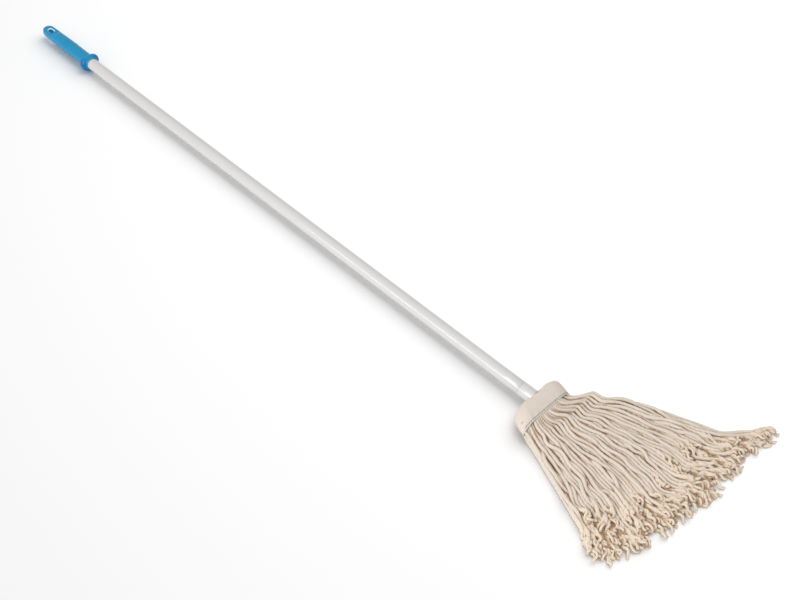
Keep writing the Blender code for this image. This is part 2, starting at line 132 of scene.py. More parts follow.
def noise_curve(rng, count, terms, strength):
    """A smooth random function of one value, as a callable on arrays: a sum of sines."""
    freq = rng.uniform(0.5, count, terms)
    phase = rng.uniform(0, math.tau, terms)
    size = rng.uniform(0.5, 1.0, terms) * strength / math.sqrt(terms)
    return lambda v: sum(a * np.sin(math.tau * f * v + p) for a, f, p in zip(size, freq, phase))


def smooth(v):
    v = np.clip(v, 0.0, 1.0)
    return v * v * (3 - 2 * v)


def unit(v):
    return v / np.maximum(np.linalg.norm(v, axis=-1, keepdims=True), 1e-12)


def mesh_from(name, verts, quads, fans=(), uv=None):
    """A smooth mesh of four-sided faces, and of many-sided end caps. uv has one pair per corner of the quads."""
    mesh = bpy.data.meshes.new(name)
    fans = [np.asarray(f) for f in fans]
    corners = np.concatenate([quads.ravel(), *fans]) if fans else quads.ravel()
    sizes = np.concatenate([np.full(len(quads), 4), [len(f) for f in fans]]).astype(int)
    starts = np.concatenate([[0], np.cumsum(sizes)[:-1]])
    mesh.vertices.add(len(verts))
    mesh.vertices.foreach_set("co", np.asarray(verts, np.float32).ravel())
    mesh.loops.add(len(corners))
    mesh.loops.foreach_set("vertex_index", corners.astype(np.int32))
    mesh.polygons.add(len(sizes))
    mesh.polygons.foreach_set("loop_start", starts.astype(np.int32))
    mesh.update(calc_edges=True)
    mesh.validate()
    if uv is not None:
        layer = mesh.uv_layers.new(name="UVMap")
        full = np.zeros((len(mesh.loops), 2), np.float32)
        full[: len(uv)] = uv
        layer.data.foreach_set("uv", full.ravel())
    mesh.shade_smooth()
    return mesh


def put(name, mesh, mat):
    obj = bpy.data.objects.new(name, mesh)
    mesh.materials.append(mat)
    bpy.context.scene.collection.objects.link(obj)
    return obj


def point_values(mesh, name, values):
    attribute = mesh.attributes.new(name, "FLOAT", "POINT")
    attribute.data.foreach_set("value", np.asarray(values, np.float32).ravel())


def frames_along(paths):
    """Tangents and two normals at every point of a batch of paths (m, n, 3), carried along without twisting."""
    tangents = unit(np.gradient(paths, axis=1))
    first = np.zeros_like(tangents[:, 0])
    first[:, 1] = 1.0
    normals = np.empty_like(tangents)
    before = first
    for i in range(paths.shape[1]):
        t = tangents[:, i]
        before = unit(before - np.sum(before * t, axis=-1, keepdims=True) * t)
        normals[:, i] = before
    return tangents, normals, np.cross(tangents, normals)


def tubes(paths, radii, spin, profile):
    """Round skins about a batch of paths. radii and spin are (m, n), profile is one factor per side.
    Gives vertices, quads, end caps and a UV pair for each quad corner, in metres round and along."""
    m, n, _ = paths.shape
    sides = len(profile)
    _, across, up = frames_along(paths)
    turn = spin[..., None] + math.tau * np.arange(sides) / sides
    r = radii[..., None] * np.asarray(profile)
    rings = paths[:, :, None] + (r * np.cos(turn))[..., None] * across[:, :, None]
    rings = rings + (r * np.sin(turn))[..., None] * up[:, :, None]
    index = np.arange(m * n * sides).reshape(m, n, sides)
    after = np.roll(index, -1, axis=2)
    quads = np.stack([index[:, :-1], after[:, :-1], after[:, 1:], index[:, 1:]], axis=-1).reshape(-1, 4)
    length = np.concatenate([np.zeros((m, 1)), np.cumsum(np.linalg.norm(np.diff(paths, axis=1), axis=2), axis=1)], axis=1)
    width = math.tau * STRAND_RADIUS / sides
    u0 = np.broadcast_to(np.arange(sides) * width, (m, n - 1, sides))
    v0 = np.broadcast_to(length[:, :-1, None], (m, n - 1, sides))
    v1 = np.broadcast_to(length[:, 1:, None], (m, n - 1, sides))
    uv = np.stack([u0, v0, u0 + width, v0, u0 + width, v1, u0, v1], axis=-1).reshape(-1, 2)
    caps = [c for k in range(m) for c in (index[k, 0, ::-1], index[k, -1])]
    return rings.reshape(-1, 3), quads, caps, uv


# Node materials


class Nodes:
    """A short way to build a node material."""

    def __init__(self, name, rough, metal=0.0):
        self.mat = bpy.data.materials.new(name)
        self.mat.use_nodes = True
        self.tree = self.mat.node_tree
        self.shader = self.tree.nodes["Principled BSDF"]
        self.shader.inputs["Roughness"].default_value = rough
        self.shader.inputs["Metallic"].default_value = metal

    def add(self, kind, **settings):
        node = self.tree.nodes.new(kind)
        for key, value in settings.items():
            setattr(node, key, value)
        return node

    def link(self, out, into):
        self.tree.links.new(out, into)

    def texture(self, kind, scale, vector=None, stretch=(1, 1, 1), **inputs):
        node = self.add(kind)
        if vector is not None:
            mapping = self.add("ShaderNodeMapping")
            mapping.inputs["Scale"].default_value = stretch
            self.link(vector, mapping.inputs["Vector"])
            self.link(mapping.outputs["Vector"], node.inputs["Vector"])
        node.inputs["Scale"].default_value = scale
        for key, value in inputs.items():
            node.inputs[key].default_value = value
        return node

    def attribute(self, name):
        return self.add("ShaderNodeAttribute", attribute_name=name).outputs["Fac"]

    def coordinates(self, kind="Object"):
        return self.add("ShaderNodeTexCoord").outputs[kind]

    def mix(self, a, b, share, blend="MIX"):
        node = self.add("ShaderNodeMix", data_type="RGBA", blend_type=blend)
        for socket, value in ((node.inputs["Factor"], share), (node.inputs["A"], None)):
            if value is not None and not isinstance(value, float):
                self.link(value, socket)
            elif value is not None:
                socket.default_value = value
        colours = [s for s in node.inputs if s.type == "RGBA"]
        for socket, value in zip(colours, (a, b)):
            if isinstance(value, tuple):
                socket.default_value = (*value, 1)
            else:
                self.link(value, socket)
        return [s for s in node.outputs if s.type == "RGBA"][0]

    def math(self, operation, a, b):
        node = self.add("ShaderNodeMath", operation=operation)
        for socket, value in zip(node.inputs, (a, b)):
            if isinstance(value, float):
                socket.default_value = value
            else:
                self.link(value, socket)
        return node.outputs["Value"]

    def bump(self, height, distance, strength=1.0):
        node = self.add("ShaderNodeBump")
        node.inputs["Distance"].default_value = distance
        node.inputs["Strength"].default_value = strength
        self.link(height, node.inputs["Height"])
        self.link(node.outputs["Normal"], self.shader.inputs["Normal"])

    def colour(self, value):
        if isinstance(value, tuple):
            self.shader.inputs["Base Color"].default_value = (*value, 1)
        else:
            self.link(value, self.shader.inputs["Base Color"])


def cotton():
    """Bleached cotton yarn. shade is painted shade: how deep in the gaps between strands a spot lies, mixing in dark
    brown; tone varies from strand to strand, and fray is how near a spot is to the warmer cut ends."""
    n = Nodes("cotton_yarn", 0.92)
    uv = n.coordinates("UV")
    fibres = n.texture("ShaderNodeTexNoise", 900.0, uv, (1.0, 0.16, 1.0), Detail=3.0)
    lumps = n.texture("ShaderNodeTexNoise", 110.0, uv, (0.6, 1.0, 1.0), Detail=2.0)
    clean = n.mix((0.735, 0.650, 0.555), (0.815, 0.735, 0.645), n.attribute("tone"))
    warm = n.mix(clean, (0.88, 0.765, 0.625), n.attribute("fray"))
    # painted shade: the shade attribute mixes dark brown into the deep gaps between strands
    shaded_colour = n.mix(warm, (0.40, 0.21, 0.072), n.attribute("shade"))
    n.colour(n.mix(shaded_colour, (0.66, 0.55, 0.42), n.math("MULTIPLY", lumps.outputs["Fac"], 0.20)))
    n.bump(n.math("ADD", fibres.outputs["Fac"], n.math("MULTIPLY", lumps.outputs["Fac"], 1.2)), 0.0004, 0.7)
    n.shader.inputs["Sheen Weight"].default_value = 0.25
    n.shader.inputs["Sheen Roughness"].default_value = 0.6
    n.shader.inputs["Specular IOR Level"].default_value = 0.15
    return n.mat


def canvas_cloth():
    """Plain-woven cotton canvas."""
    n = Nodes("canvas", 0.9)
    uv = n.coordinates("UV")
    warp = n.texture("ShaderNodeTexWave", 330.0, uv, (1.0, 0.0, 1.0), Distortion=0.6)
    weft = n.texture("ShaderNodeTexWave", 330.0, uv, (0.0, 1.0, 1.0), Distortion=0.6)
    weft.bands_direction = "Y"
    slub = n.texture("ShaderNodeTexNoise", 260.0, uv, (1.0, 0.3, 1.0), Detail=4.0)
    weave = n.math("MULTIPLY", warp.outputs["Fac"], weft.outputs["Fac"])
    tint = n.mix((0.800, 0.712, 0.640), (0.690, 0.595, 0.520), slub.outputs["Fac"])
    # the shade attribute mixes in dark brown: a stain dot, a light even darkening of the edge seams, and painted
    # shade in the gap beside the neck
    n.colour(n.mix(tint, (0.36, 0.26, 0.17), n.attribute("shade")))
    n.bump(n.math("ADD", weave, slub.outputs["Fac"]), 0.00025, 0.6)
    n.shader.inputs["Sheen Weight"].default_value = 0.2
    n.shader.inputs["Specular IOR Level"].default_value = 0.15
    return n.mat


def thread_material():
    n = Nodes("green_thread", 0.7)
    noise = n.texture("ShaderNodeTexNoise", 500.0, n.coordinates(), Detail=2.0)
    n.colour(n.mix((0.35, 0.42, 0.37), (0.47, 0.52, 0.47), noise.outputs["Fac"]))
    n.bump(noise.outputs["Fac"], 0.0002, 0.5)
    return n.mat


def enamel():
    n = Nodes("white_enamel", 0.30)
    ripple = n.texture("ShaderNodeTexNoise", 60.0, n.coordinates(), (0.08, 1.0, 1.0), Detail=1.0)
    n.colour(n.mix((0.640, 0.627, 0.618), (0.672, 0.659, 0.650), ripple.outputs["Fac"]))
    n.shader.inputs["Coat Weight"].default_value = 1.0
    n.shader.inputs["Coat Roughness"].default_value = 0.05
    return n.mat


def white_plastic():
    n = Nodes("white_plastic", 0.35)
    noise = n.texture("ShaderNodeTexNoise", 240.0, n.coordinates(), Detail=2.0)
    n.colour(n.mix((0.65, 0.64, 0.63), (0.68, 0.67, 0.66), noise.outputs["Fac"]))
    n.bump(noise.outputs["Fac"], 0.0001, 0.2)
    n.shader.inputs["Coat Weight"].default_value = 1.0
    n.shader.inputs["Coat Roughness"].default_value = 0.05
    return n.mat


def blue_plastic():
    """Satin blue plastic, with painted shade on the flange's lobes, given by a point attribute."""
    n = Nodes("blue_plastic", 0.27)
    grain = n.texture("ShaderNodeTexNoise", 900.0, n.coordinates(), Detail=2.0)
    cloud = n.texture("ShaderNodeTexNoise", 30.0, n.coordinates(), Detail=2.0)
    base = n.mix((0.004, 0.245, 0.470), (0.009, 0.295, 0.535), cloud.outputs["Fac"])
    # darker blue mixed in as painted shade on the flange's lobes
    n.colour(n.mix(base, (0.0, 0.150, 0.400), n.attribute("painted_lobe_shade")))
    n.shader.inputs["Specular IOR Level"].default_value = 0.3
    n.bump(grain.outputs["Fac"], 0.0001, 0.25)
    return n.mat


def painted_slot_highlight():
    """Painted highlight on the hanging slot's rounded edge: pale blue that stands in for light caught on the bevel.
    """
    n = Nodes("blue_plastic_painted_highlight", 0.25)
    cloud = n.texture("ShaderNodeTexNoise", 300.0, n.coordinates(), Detail=2.0)
    n.colour(n.mix((0.62, 0.74, 0.82), (0.78, 0.86, 0.90), cloud.outputs["Fac"]))
    return n.mat


def zinc():
    n = Nodes("zinc_steel", 0.38, 1.0)
    noise = n.texture("ShaderNodeTexNoise", 400.0, n.coordinates(), Detail=3.0)
    n.colour(n.mix((0.55, 0.55, 0.54), (0.70, 0.70, 0.68), noise.outputs["Fac"]))
    return n.mat


# The band and the fan, as functions of place


def band_centre(x):
    return BAND_SHIFT[0] + BAND_SHIFT[1] * x


def band_half(x):
    return BAND_HALF_WIDTH + BAND_FLARE * x


def band_rise(x):
    return np.clip((BAND_SHOULDER - x) / (BAND_SHOULDER - BAND_TOP), 0.0, 1.0)


def band_height(x, across, rise):
    """Height of the band's face above the middle plane, at shares of its half width and of its rounded top."""
    rim = np.minimum(1.0, (np.abs(across) ** BAND_POWER + rise**BAND_POWER) ** (1 / BAND_POWER))
    crown = np.minimum(1.0, 1.083 * np.sqrt(np.maximum(0.0, 1 - rim**4)))
    return (AXIS_HEIGHT - BAND_PINCH * smooth((x - 0.006) / (BAND_STITCH - 0.006))) * crown


def fan_edge(share, reach):
    past = np.maximum(0.0, reach - KNUCKLE)
    out = past * past / (past + FAN_ONSET)
    near = -(FAN_NEAR[0] + FAN_NEAR[1] * out)
    far = FAN_FAR[0] + FAN_FAR[1] * (1 - np.exp(-out / FAN_BURST)) + FAN_FAR[2] * out
    far = far + FAN_FLARE[0] * smooth((out - FAN_FLARE[1]) / FAN_FLARE[2])
    return near + (far - near) * (share + 1) / 2


def fan_sides(x):
    """The lying fan's two edges, from the band's corners outwards."""
    reach = x - YARN_HINGE
    leave, slow_leave = smooth((x - BAND_HEM) / 0.022), smooth((x - BAND_HEM) / 0.050)
    corner = band_half(BAND_HEM) - CANVAS
    near = (band_centre(BAND_HEM) - corner) * (1 - slow_leave) + fan_edge(-1, reach) * slow_leave
    near = near - NEAR_FLARE * smooth((x - 0.175) / 0.040)
    far = (band_centre(BAND_HEM) + corner) * (1 - leave) + (fan_edge(1, reach) - FAR_DRAW * (1 - leave)) * leave
    return near, far


def pile_height(distance):
    fall = np.exp(-((np.maximum(distance, 0) / PILE_FALL[0]) ** PILE_FALL[1]))
    return PILE_TIP_HEIGHT + (AXIS_HEIGHT + KNUCKLE - PILE_TIP_HEIGHT) * fall


# Strands: where they leave the band, how they spread, and how they settle


def hem_places():
    """Where the strands pass the hem, as shares (-1 to 1) of the band's inner width and height, evenly packed."""
    rng = np.random.default_rng(11)
    golden = (0.7548776662, 0.5698402910)
    k = np.arange(STRANDS)
    spots = np.stack([(k * golden[0]) % 1, (k * golden[1]) % 1], axis=1) * 2 - 1
    spots += rng.normal(0, 0.01, spots.shape)
    room = np.array([band_half(BAND_HEM) - CANVAS - HEM_RADIUS, AXIS_HEIGHT - BAND_PINCH - CANVAS - HEM_RADIUS])
    at = spots * room
    for _ in range(250):
        apart = at[:, None] - at[None]
        gap = np.linalg.norm(apart, axis=2) + np.eye(STRANDS)
        push = np.maximum(0, 2.15 * HEM_RADIUS - gap) * (1 - np.eye(STRANDS))
        at = at + 0.35 * np.sum(apart / gap[..., None] * push[..., None], axis=1)
        rim = np.sum(np.abs(at / room) ** 3.2, axis=1) ** (1 / 3.2)
        at = at / np.maximum(1.0, rim)[:, None]
    return at / room


def wander(count, seed, knots, strength):
    """One smooth random walk per strand, sampled at NODES places."""
    rng = np.random.default_rng(seed)
    values = rng.normal(0, strength, (count, knots))
    at = np.linspace(0, knots - 1, NODES)
    low = np.clip(at.astype(int), 0, knots - 2)
    t = smooth(at - low)
    return values[:, low] * (1 - t) + values[:, low + 1] * t


def aimed_paths(places):
    """The paths that the strands would take with nothing in their way: the fan, the waves that the yarn keeps from
    its twist, and the bundles that it falls into."""
    rng = np.random.default_rng(23)
    s, t = places[:, 0], (places[:, 1] + 1) / 2
    order = np.argsort(np.argsort(s)) / (STRANDS - 1) * 2 - 1
    share = 0.975 * (0.75 * order + 0.25 * s)
    tips = np.interp(share, np.linspace(-0.9, 0.9, SECTIONS), SECTION_TIPS)
    ends = tips - 0.002 - rng.uniform(0.0, 1.0, STRANDS) ** 1.3 * (0.010 + 0.060 * t)
    x = BAND_HEM + (ends - BAND_HEM)[:, None] * np.linspace(0, 1, NODES)
    distance = x - YARN_HINGE
    drift = np.zeros(STRANDS)
    top = np.argsort(-t)[:36]
    chosen = rng.choice(top, 9, replace=False)
    drift[chosen] = rng.uniform(0.06, 0.15, 9) * rng.choice((-1, 1), 9)
    moved = np.clip(share[:, None] + drift[:, None] * smooth((distance - 0.01) / 0.16), -0.97, 0.97)
    near, far = fan_sides(x)
    y = near + (far - near) * (moved + 1) / 2
    leave = smooth((x - BAND_HEM) / 0.023)
    hem_y = band_centre(BAND_HEM) + s * (band_half(BAND_HEM) - CANVAS - HEM_RADIUS)
    slope = (y[:, 12] - hem_y) / (x[:, 12] - BAND_HEM)
    straight = hem_y[:, None] + 0.92 * slope[:, None] * (x - BAND_HEM)
    y = straight * (1 - leave) + y * leave

    phase = noise_curve(rng, 1.6, 5, 0.55)(share) + 0.30 * t + rng.normal(0, 0.05, STRANDS)
    long_phase = noise_curve(rng, 1.2, 4, 0.45)(share) + rng.normal(0, 0.04, STRANDS)
    size = 0.0016 + noise_curve(rng, 1.5, 4, 0.0006)(share)
    size = size * (1 - 0.75 * smooth((np.abs(share) - 0.72) / 0.20))
    run = x - BAND_HEM
    settle = smooth(run / 0.020) * (1 - 0.45 * smooth((run - 0.09) / 0.10))
    stretch = 0.047 + 0.010 * noise_curve(rng, 1.0, 3, 1.0)(share)
    waves = size[:, None] * settle * np.sin(math.tau * (run / stretch[:, None] + phase[:, None]))
    waves += 0.0020 * smooth(run / 0.06) * np.sin(math.tau * (run / 0.125 + long_phase[:, None]))
    bundles = 13 + 2.5 * smooth(run / 0.2)
    gather = 0.0034 * smooth((run - 0.010) / 0.08) * (1 - 0.7 * smooth((run - 0.15) / 0.05))
    waves -= gather * np.sin(math.tau * (bundles * share[:, None] / 2 + 0.4 * t[:, None]))
    waves += wander(STRANDS, 31, 13, 0.0008) * smooth(run / 0.03)
    loose = smooth((run - (ends - BAND_HEM)[:, None] + 0.055) / 0.055)
    waves += wander(STRANDS, 37, 17, 0.0030) * loose
    lean = np.gradient(y, axis=1) / np.gradient(x, axis=1)
    steep = np.sqrt(1 + lean * lean)
    y = y + waves / steep
    x = x - waves * lean / steep

    hem_z = AXIS_HEIGHT + places[:, 1] * (AXIS_HEIGHT - BAND_PINCH - CANVAS - HEM_RADIUS)
    edge = np.sqrt(np.maximum(0.0, 1 - np.abs(share) ** 4))[:, None]
    lying = STRAND_RADIUS + t[:, None] * (pile_height(distance) * (0.42 + 0.58 * edge) - 2 * STRAND_RADIUS)
    z = hem_z[:, None] * (1 - leave) + lying * leave
    z += wander(STRANDS, 41, 9, 0.0009) * smooth(run / 0.03)
    z += np.abs(wander(STRANDS, 43, 15, 0.0030)) * loose
    paths = np.stack([x, y, np.maximum(z, STRAND_RADIUS)], axis=2)
    return paths, share, t


def near_pairs(points, owner, reach):
    tree = KDTree(len(points))
    for i, point in enumerate(points):
        tree.insert(point, i)
    tree.balance()
    first, second = [], []
    for i, point in enumerate(points):
        for _, j, _ in tree.find_range(point, reach):
            if j > i and owner[j] != owner[i]:
                first.append(i)
                second.append(j)
    return np.array(first, int), np.array(second, int)


def pushed_apart(points, tangents, radii, spacing, pairs):
    """The mean correction of every point that keeps strands from lying in each other."""
    i, j = pairs
    apart = points[j] - points[i]
    along = unit(tangents[i] + tangents[j])
    slide = np.sum(apart * along, axis=1)
    apart = apart - slide[:, None] * along
    gap = np.linalg.norm(apart, axis=1) + 1e-9
    lack = radii[i] + radii[j] - gap
    use = (lack > 0) & (np.abs(slide) < 0.6 * spacing)
    i, j = i[use], j[use]
    step = apart[use] / gap[use, None] * (0.5 * lack[use])[:, None]
    count = np.bincount(i, minlength=len(points)) + np.bincount(j, minlength=len(points))
    total = np.stack(
        [
            np.bincount(j, step[:, c], len(points)) - np.bincount(i, step[:, c], len(points))
            for c in range(3)
        ],
        axis=1,
    )
    return total / np.maximum(1.0, count * 0.55)[:, None]


def settled(aim, rounds):
    """Lets the strands fall, rest on the floor and on each other, and keep their length and their waves."""
    paths = aim.copy()
    owner = np.repeat(np.arange(STRANDS), NODES)
    run = aim[:, :, 0] - BAND_HEM
    radii = HEM_RADIUS + (STRAND_RADIUS - HEM_RADIUS) * smooth(run / STRAND_FILLS)
    rest = np.linalg.norm(np.diff(aim, axis=1), axis=2)
    bend = aim[:, 1:-1] - 0.5 * (aim[:, :-2] + aim[:, 2:])
    spacing = float(rest.mean())
    ceiling = CAD_BOX[1].z + 0.004
    give = np.random.default_rng(47).uniform(-0.0020, 0.0012, (STRANDS, 1))
    for step in range(rounds):
        if step % 8 == 0:
            pairs = near_pairs(paths.reshape(-1, 3), owner, 2.5 * STRAND_RADIUS + 0.5 * spacing)
        paths[:, 1:, 2] -= 0.00022
        paths[:, 1:, :2] += 0.02 * (aim[:, 1:, :2] - paths[:, 1:, :2])
        curve = 0.5 * (paths[:, :-2] + paths[:, 2:]) + bend
        paths[:, 1:-1] += 0.35 * (curve - paths[:, 1:-1])
        tangents = unit(np.gradient(paths, axis=1)).reshape(-1, 3)
        flat = paths.reshape(-1, 3)
        paths = (flat + pushed_apart(flat, tangents, radii.ravel(), spacing, pairs)).reshape(paths.shape)
        for _ in range(2):
            link = np.diff(paths, axis=1)
            length = np.linalg.norm(link, axis=2)
            fix = link * (0.25 * (length - rest) / length)[..., None]
            paths[:, :-1] += fix
            paths[:, 1:] -= fix
        near, far = fan_sides(paths[:, :, 0])
        paths[:, :, 1] = np.clip(paths[:, :, 1], near - give + radii, far + give - radii)
        paths[:, :, 2] = np.clip(paths[:, :, 2], radii, ceiling - radii)
        paths[:, 0] = aim[:, 0]
    return paths


def resampled(paths, count):
    """Smooth curves through the nodes, with count points each, evenly spaced."""
    m, n, _ = paths.shape
    fine_t = np.linspace(0, n - 1, 6 * n)
    low = np.clip(fine_t.astype(int), 0, n - 2)
    t = (fine_t - low)[None, :, None]
    p0, p1 = paths[:, np.maximum(low - 1, 0)], paths[:, low]
    p2, p3 = paths[:, low + 1], paths[:, np.minimum(low + 2, n - 1)]
    curve = p1 + 0.5 * t * (p2 - p0 + t * (2 * p0 - 5 * p1 + 4 * p2 - p3 + t * (3 * (p1 - p2) + p3 - p0)))
    even = np.empty((m, count, 3))
    for k in range(m):
        length = np.concatenate([[0], np.cumsum(np.linalg.norm(np.diff(curve[k], axis=0), axis=1))])
        at = np.linspace(0, length[-1], count)
        for c in range(3):
            even[k, :, c] = np.interp(at, length, curve[k, :, c])
    return even


def inner_paths(places):
    """The strands inside the band: round a yoke arm, past the socket, and on to the hem."""
    s, v = places[:, 0], places[:, 1]
    side = np.where(v >= 0, 1.0, -1.0)
    loop = 0.0075 + 0.0060 * np.abs(v)
    socket = 0.0150
    width = 0.040
    steps = 8
    points = []
    for i in range(steps):
        a = math.pi / 2 * i / (steps - 1)
        x = -loop * math.cos(a)
        z = side * loop * math.sin(a)
        rise = band_rise(x)
        room = width * (1 - rise**BAND_POWER) ** (1 / BAND_POWER)
        points.append((x, s, z, room))
    for x0 in (0.005, 0.0105, 0.0155):
        share = x0 / BAND_HEM
        z = side * loop * (1 - share) + v * (AXIS_HEIGHT - BAND_PINCH - CANVAS - HEM_RADIUS) * share
        points.append((np.full(STRANDS, x0), s, z, np.full(STRANDS, width + (0.0455 - width) * share)))
    result = []
    for x, s_here, z, room in points:
        clear = socket * (1 - smooth((x - 0.008) / 0.011))
        direction = np.where(s_here >= 0, 1.0, -1.0)
        y = direction * np.sqrt(clear**2 + s_here**2 * np.maximum(0, room**2 - clear**2))
        result.append(np.stack([x, band_centre(x) + y, AXIS_HEIGHT + z], axis=1))
    return np.stack(result, axis=1)


class PileTop:
    """The height of the yarn's top skin, on a grid over the head."""

    def __init__(self, points, radii):
        self.corner = points[:, :2].min(axis=0) - 4 * PILE_CELL
        cells = ((points[:, :2] - self.corner) / PILE_CELL).astype(int)
        top = np.zeros(cells.max(axis=0) + 5)
        np.maximum.at(top, (cells[:, 0], cells[:, 1]), points[:, 2] + radii)
        around = [(i, j) for i in (-1, 0, 1) for j in (-1, 0, 1)]
        self.top = np.max([np.roll(top, shift, axis=(0, 1)) for shift in around], axis=0)

    def painted_gap_shade(self, points, sides):
        """Painted shade for the gaps between strands: how deep in them each point of tubes lies, from 0 to 1, fading
        out again where the yarn lies deeper still. It is 0 where it faces down.
        """
        rings = points.reshape(-1, sides, 3)
        outward = rings - rings.mean(axis=1, keepdims=True)
        facing_up = (outward[:, :, 2] / np.linalg.norm(outward, axis=2)).ravel()
        walls = [self.height(points[:, :2] + (0, shift)) for shift in (-STRAND_RADIUS, STRAND_RADIUS)]
        depth = np.minimum(*walls) - points[:, 2]
        painted_shade = smooth((depth - GAP_SHADE_FROM) / GAP_SHADE_OVER) * (1 - smooth((depth - HIDDEN_FROM) / HIDDEN_OVER))
        past_hem = 0.45 + 0.55 * smooth((points[:, 0] - BAND_HEM) / 0.030)
        tips = 1 - 0.15 * smooth((points[:, 0] - 0.165) / 0.05)
        return painted_shade * past_hem * tips * smooth((facing_up + 0.35) / 0.75)

    def height(self, spots):
        at = (spots - self.corner) / PILE_CELL - 0.5
        low = np.clip(np.floor(at).astype(int), 0, np.array(self.top.shape) - 2)
        share = np.clip(at - low, 0, 1)
        skin = 0
        for i in (0, 1):
            for j in (0, 1):
                weight = np.abs(1 - i - share[:, 0]) * np.abs(1 - j - share[:, 1])
                skin = skin + weight * self.top[low[:, 0] + i, low[:, 1] + j]
        return skin


def ply_profile():
    """Factors round a strand of four soft plies."""
    angle = math.tau * np.arange(SIDES) / SIDES
    return 0.90 + 0.10 * np.abs(np.cos(angle * PLIES / 2))


def frayed_plies(curves, length, ids):
    """The loose plies at the strands' ends, then the finer fibres at the ends of the plies."""
    rng = np.random.default_rng(53)
    m = len(curves)
    tangent, across, up = frames_along(curves)
    rings = 15
    ply_paths, ply_radii = [], []
    for ply in range(PLIES):
        reach = FRAY_LENGTH * rng.uniform(0.62, 1.16, m)
        start = length - FRAY_LENGTH - 0.003
        spread = rng.uniform(0.0012, 0.0046, m)
        curl = rng.uniform(0.0012, 0.0030, (m, 2))
        phase = rng.uniform(0, math.tau, (m, 2))
        turns = rng.uniform(1.4, 2.9, (m, 2))
        twist = rng.uniform(2.5, 5.5, m)
        path = np.empty((m, rings, 3))
        for i in range(rings):
            u = i / (rings - 1)
            at = np.clip((start + reach * u) / length, 0, 1) * (curves.shape[1] - 1)
            low = np.minimum(at.astype(int), curves.shape[1] - 2)
            share = (at - low)[:, None]
            rows = np.arange(m)
            centre = curves[rows, low] * (1 - share) + curves[rows, low + 1] * share
            over = np.maximum(0, start + reach * u - length)[:, None]
            centre = centre + tangent[rows, low + 1] * over
            angle = math.tau * ply / PLIES + twist * u
            off = 0.48 * STRAND_RADIUS + spread * u**1.4
            loose = min(1.0, 1.6 * u) ** 1.3
            side = off * np.cos(angle) + loose * curl[:, 0] * np.sin(math.tau * turns[:, 0] * u + phase[:, 0])
            rise = off * np.sin(angle) + loose * curl[:, 1] * np.sin(math.tau * turns[:, 1] * u + phase[:, 1])
            spot = centre + side[:, None] * across[rows, low] + rise[:, None] * up[rows, low]
            path[:, i] = spot
        path[:, :, 2] = np.maximum(path[:, :, 2], 0.0026)
        ply_paths.append(path)
        taper = np.linspace(0, 1, rings)
        ply_radii.append(rng.uniform(0.0019, 0.0025, (m, 1)) * (1 - 0.22 * taper**4))
    plies = np.concatenate(ply_paths)
    radii = np.concatenate(ply_radii)
    owners = np.tile(ids, PLIES)
    return plies, radii, owners


def fine_fibres(plies, owners, per_ply=1):
    """Short curly fibres that carry on from the ends of the plies."""
    rng = np.random.default_rng(59)
    m = len(plies)
    steps = 7
    heading = unit(plies[:, -1] - plies[:, -4])
    paths = []
    for _ in range(per_ply):
        way = unit(heading + rng.normal(0, 0.45, (m, 3)))
        bend = rng.normal(0, 0.75, (m, 3))
        reach = rng.uniform(0.002, 0.0045, m)[:, None]
        back = rng.integers(1, 5, m)
        origin = plies[np.arange(m), -1 - back]
        path = np.stack(
            [
                origin + way * reach * u + bend * reach * 0.5 * u * u + 0.0006 * math.sin(9 * u) * bend
                for u in np.linspace(0, 1, steps)
            ],
            axis=1,
        )
        path[:, :, 2] = np.maximum(path[:, :, 2], 0.0006)
        paths.append(path)
    fibres = np.concatenate(paths)
    radii = rng.uniform(0.00036, 0.00056, (len(fibres), 1)) * np.linspace(1, 0.5, steps)
    return fibres, radii, np.tile(owners, per_ply)


def piece_of_strand(share, t):
    """The tuft of every strand, by the CAD's names: a third of a section's strands lie in its lower tuft."""
    names = np.empty(STRANDS, object)
    order = np.argsort(share)
    per = STRANDS // SECTIONS
    for k in range(SECTIONS):
        members = order[k * per : (k + 1) * per]
        by_height = members[np.argsort(t[members])]
        low = by_height[: per // 3]
        high = by_height[per // 3 :]
        high = high[np.argsort(share[high])]
        half = len(high) // 2
        for group, label in ((low, "lower"), (high[:half], "upper_a"), (high[half:], "upper_b")):
            names[group] = f"yarn_{k + 1}_{label}"
    return names


def clamp_inside(points, radius):
    """Keeps the yarn within a set margin round the CAD box."""
    low, high = CAD_BOX
    points[..., 0] = np.minimum(points[..., 0], high.x + 0.030)
    points[..., 1] = np.clip(points[..., 1], low.y - 0.014, high.y + 0.014)
    points[..., 2] = np.clip(points[..., 2], radius, high.z + 0.006)
    return points


def merged(parts):
    """One set of vertices, quads, caps and UVs out of several."""
    verts, quads, caps, uvs, start = [], [], [], [], 0
    for v, q, c, uv in parts:
        verts.append(v)
        quads.append(q + start)
        caps += [cap + start for cap in c]
        uvs.append(uv)
        start += len(v)
    return np.concatenate(verts), np.concatenate(quads), caps, np.concatenate(uvs)


